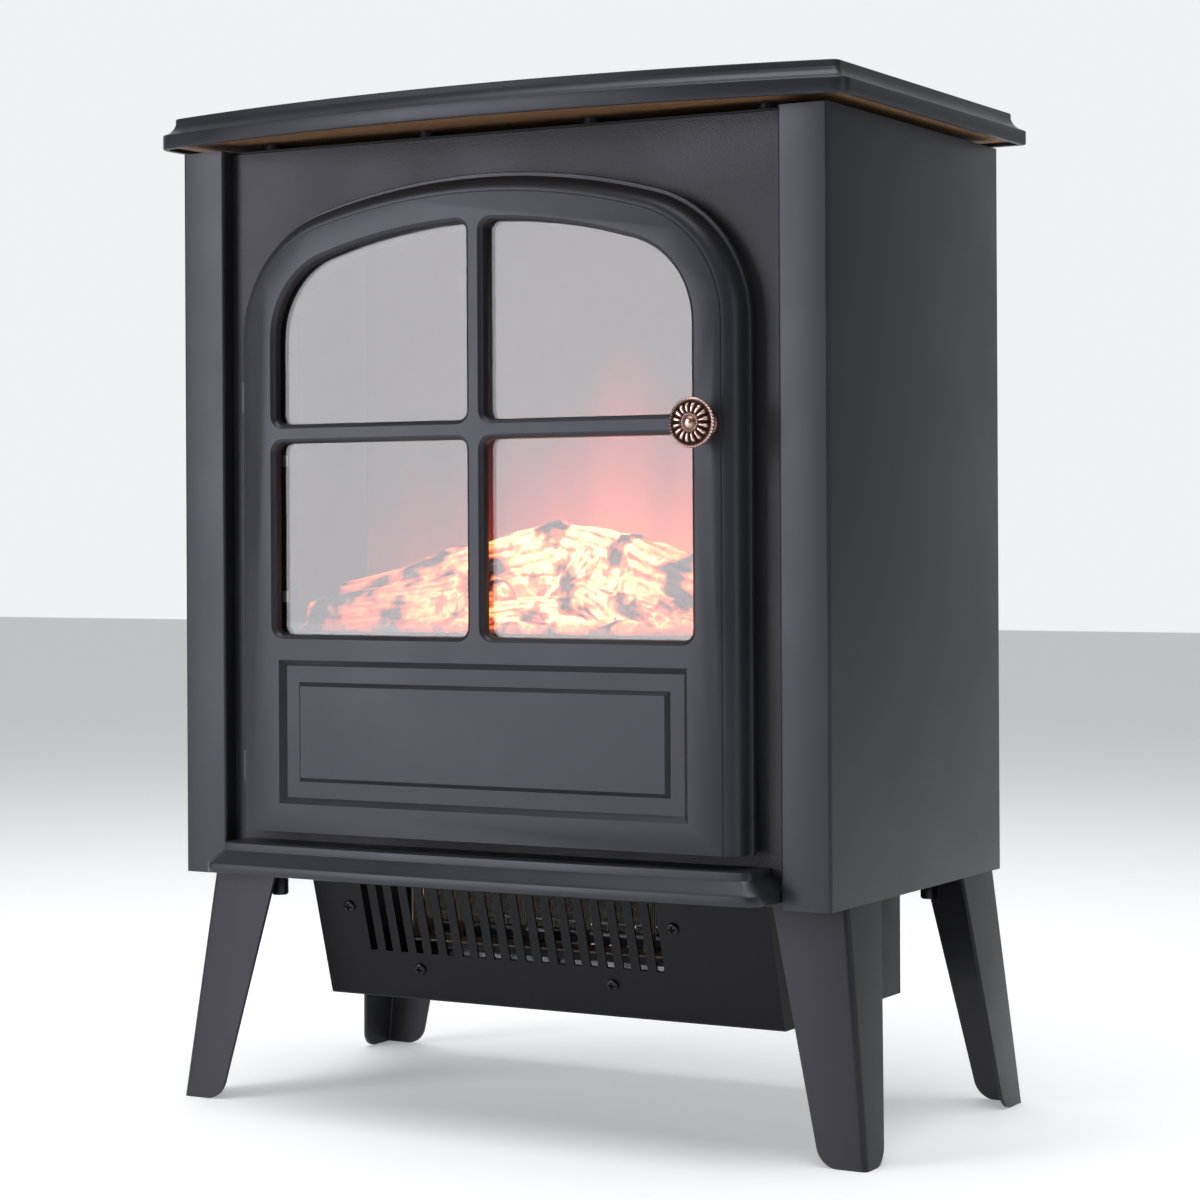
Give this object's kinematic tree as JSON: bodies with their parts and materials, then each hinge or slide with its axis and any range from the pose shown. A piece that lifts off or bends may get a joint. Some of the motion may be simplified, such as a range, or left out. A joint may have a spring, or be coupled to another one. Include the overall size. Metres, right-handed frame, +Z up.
{
  "type": "freestanding electric stove heater",
  "caption": "Freestanding electric stove with an arched four-pane door, glowing log picture, fan heater under the body, moulded lid and splayed sheet-metal legs.",
  "frame": {"origin": "on the floor, under the middle of the stove's bounding box", "axes": "+Z up, -Y towards the front with the door, +X to the right as seen from the front"},
  "size_m": [0.4116, 0.2566, 0.5348],
  "materials": {
    "body_steel": "satin charcoal powder coat, fine grain",
    "black_steel": "satin black coat",
    "moulding": "charcoal, satin, fine texture",
    "leg_steel": "satin charcoal powder coat",
    "hardboard": "bare brown hardboard",
    "black_screw": "black coated steel",
    "zinc": "zinc plated",
    "galvanised": "galvanised sheet",
    "spindle_steel": "bright foil strips on a steel shaft",
    "magnet": "moulded case round a magnet",
    "copper": "antique copper plating",
    "glass": "clear float glass",
    "embers": "translucent resin logs, lit from inside",
    "screen": "translucent projection screen",
    "mirror": "mirror film on steel",
    "circuit": "green solder mask",
    "control_black": "fine grained black",
    "switch_red": "gloss red",
    "switch_black": "gloss black",
    "pot_blue": "moulded blue case",
    "mica": "mica board",
    "wire": "resistance wire",
    "terminal": "ivory nylon",
    "rubber": "matt black"
  },
  "bodies": {
    "body": {"side_wrap_left": "body_steel", "side_wrap_right": "body_steel", "front_panel": "body_steel", "rear_panel": "body_steel", "base_plate": "body_steel", "top_frame": "black_steel", "top_lid": "moulding", "lid_liner": "hardboard", "lid_screws": "black_screw", "rear_screws": "black_screw", "hearth_ledge": "moulding", "hinge_tabs": "zinc", "hinge_pins": "zinc", "door_magnet": "magnet", "firebox_liner": "black_steel", "fuel_bed": "embers", "flame_screen": "screen", "rear_mirror": "mirror", "led_board": "circuit", "spindle_motor": "zinc", "spindle_bush": "rubber", "control_panel": "control_black", "switch_bodies": "control_black", "thermostat_body": "zinc", "flame_pot": "pot_blue", "heater_box": "black_steel", "grille_screws": "black_screw", "element_frame": "mica", "heating_wire": "wire", "blower_housing": "galvanised", "blower_motor": "zinc", "thermal_cutout": "control_black", "terminal_block": "terminal", "cable_gland": "rubber", "leg_front_left": "leg_steel", "leg_front_right": "leg_steel", "leg_rear_left": "leg_steel", "leg_rear_right": "leg_steel", "leg_knobs": "black_screw"},
    "door": {"door_shell": "moulding", "door_knob": "copper", "knob_screw": "zinc", "strike_plate": "zinc", "glass_pane": "glass", "glass_clips": "zinc", "clip_screws": "zinc"},
    "flame_rotor": {"flame_spindle": "spindle_steel"},
    "fan": {"blower_wheel": "galvanised"},
    "rocker_flame": {"switch_flame": "switch_red"},
    "rocker_low": {"switch_low": "switch_black"},
    "rocker_high": {"switch_high": "switch_black"},
    "dial_flame": {"flame_dial": "control_black"},
    "dial_thermostat": {"thermostat_dial": "control_black"}
  },
  "joints": [
    {"name": "door_hinge", "type": "hinge", "parent": "body", "child": "door", "pos_m": [-0.1438, -0.1006, 0.2834], "axis": [0, 0, -1], "range_deg": [0, 105]},
    {"name": "flame_turn", "type": "hinge", "parent": "body", "child": "flame_rotor", "pos_m": [0, 0.0219, 0.2824], "axis": [1, 0, 0], "continuous": true},
    {"name": "fan_turn", "type": "hinge", "parent": "body", "child": "fan", "pos_m": [-0.0224, 0.0149, 0.0894], "axis": [1, 0, 0], "continuous": true},
    {"name": "rocker_flame_tip", "type": "hinge", "parent": "body", "child": "rocker_flame", "pos_m": [-0.07, -0.0882, 0.2043], "axis": [1, 0, 0], "range_deg": [-16, 0]},
    {"name": "rocker_low_tip", "type": "hinge", "parent": "body", "child": "rocker_low", "pos_m": [-0.038, -0.0882, 0.2043], "axis": [1, 0, 0], "range_deg": [-16, 0]},
    {"name": "rocker_high_tip", "type": "hinge", "parent": "body", "child": "rocker_high", "pos_m": [-0.006, -0.0882, 0.2043], "axis": [1, 0, 0], "range_deg": [-16, 0]},
    {"name": "dial_flame_turn", "type": "hinge", "parent": "body", "child": "dial_flame", "pos_m": [0.034, -0.0951, 0.2043], "axis": [0, 1, 0], "range_deg": [0, 270]},
    {"name": "dial_thermostat_turn", "type": "hinge", "parent": "body", "child": "dial_thermostat", "pos_m": [0.078, -0.0951, 0.2043], "axis": [0, 1, 0], "range_deg": [0, 270]}
  ]
}
